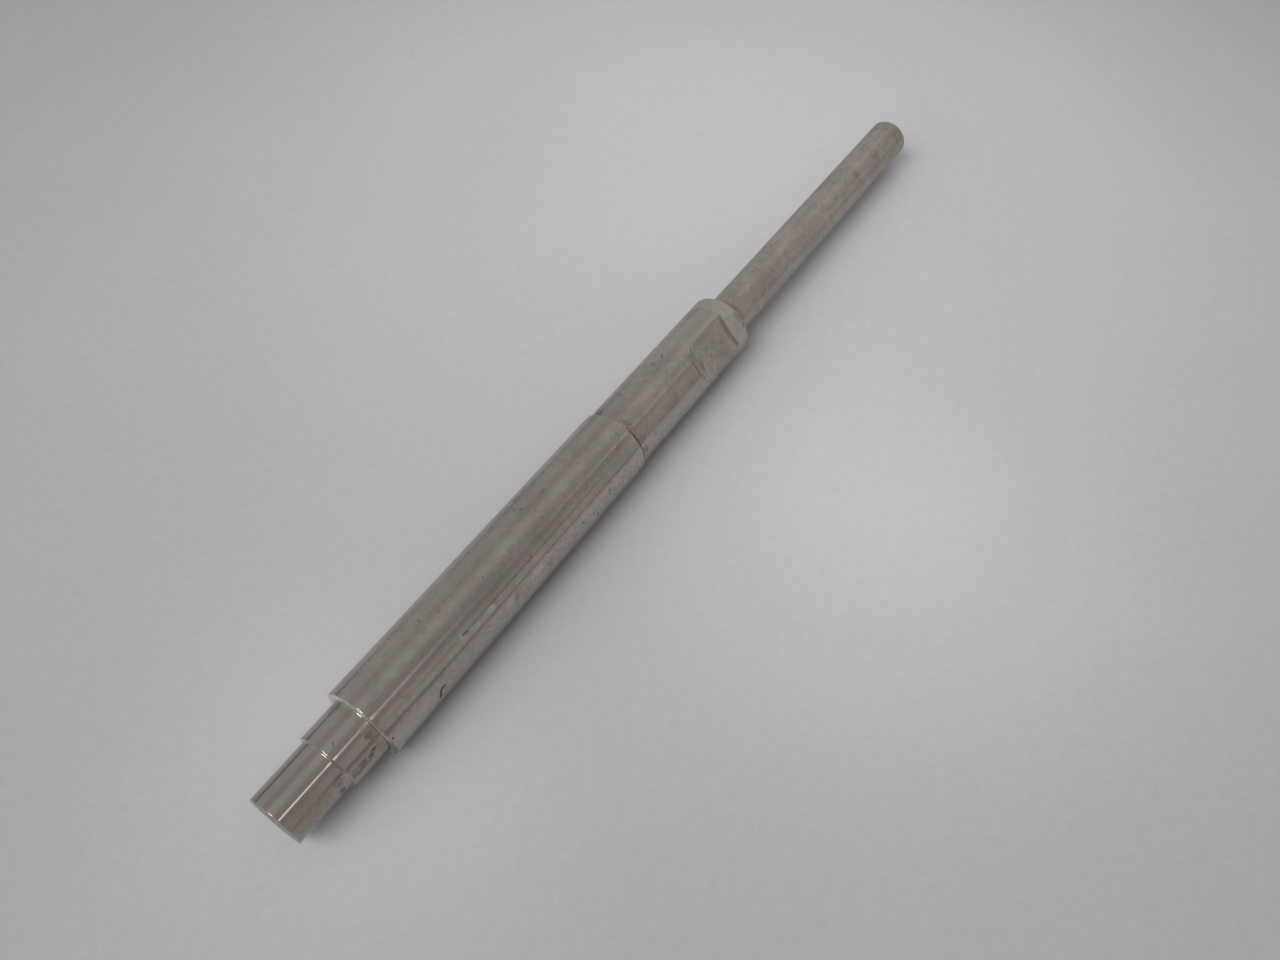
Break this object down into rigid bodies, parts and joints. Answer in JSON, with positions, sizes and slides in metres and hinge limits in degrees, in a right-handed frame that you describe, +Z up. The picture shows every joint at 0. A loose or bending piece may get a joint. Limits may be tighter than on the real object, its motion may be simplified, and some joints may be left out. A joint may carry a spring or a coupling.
{
  "type": "stepped shaft",
  "caption": "Long steel shaft turned from one bar: two short polished seats, a long ground body, a neck with wrench flats, and a plain thinner rod.",
  "frame": {"origin": "on the surface that the shaft lies on, under its axis and midway along its length", "axes": "+X along the shaft from the polished near end to the plain rod's tip, +Z up from the surface that it lies on, +Y to its left seen from the near end"},
  "size_m": [0.453, 0.0316, 0.0318],
  "materials": {
    "steel": "polished seats, ground body, satin neck and rod, with light stains"
  },
  "bodies": {
    "root": {"shaft": "steel"}
  },
  "joints": []
}
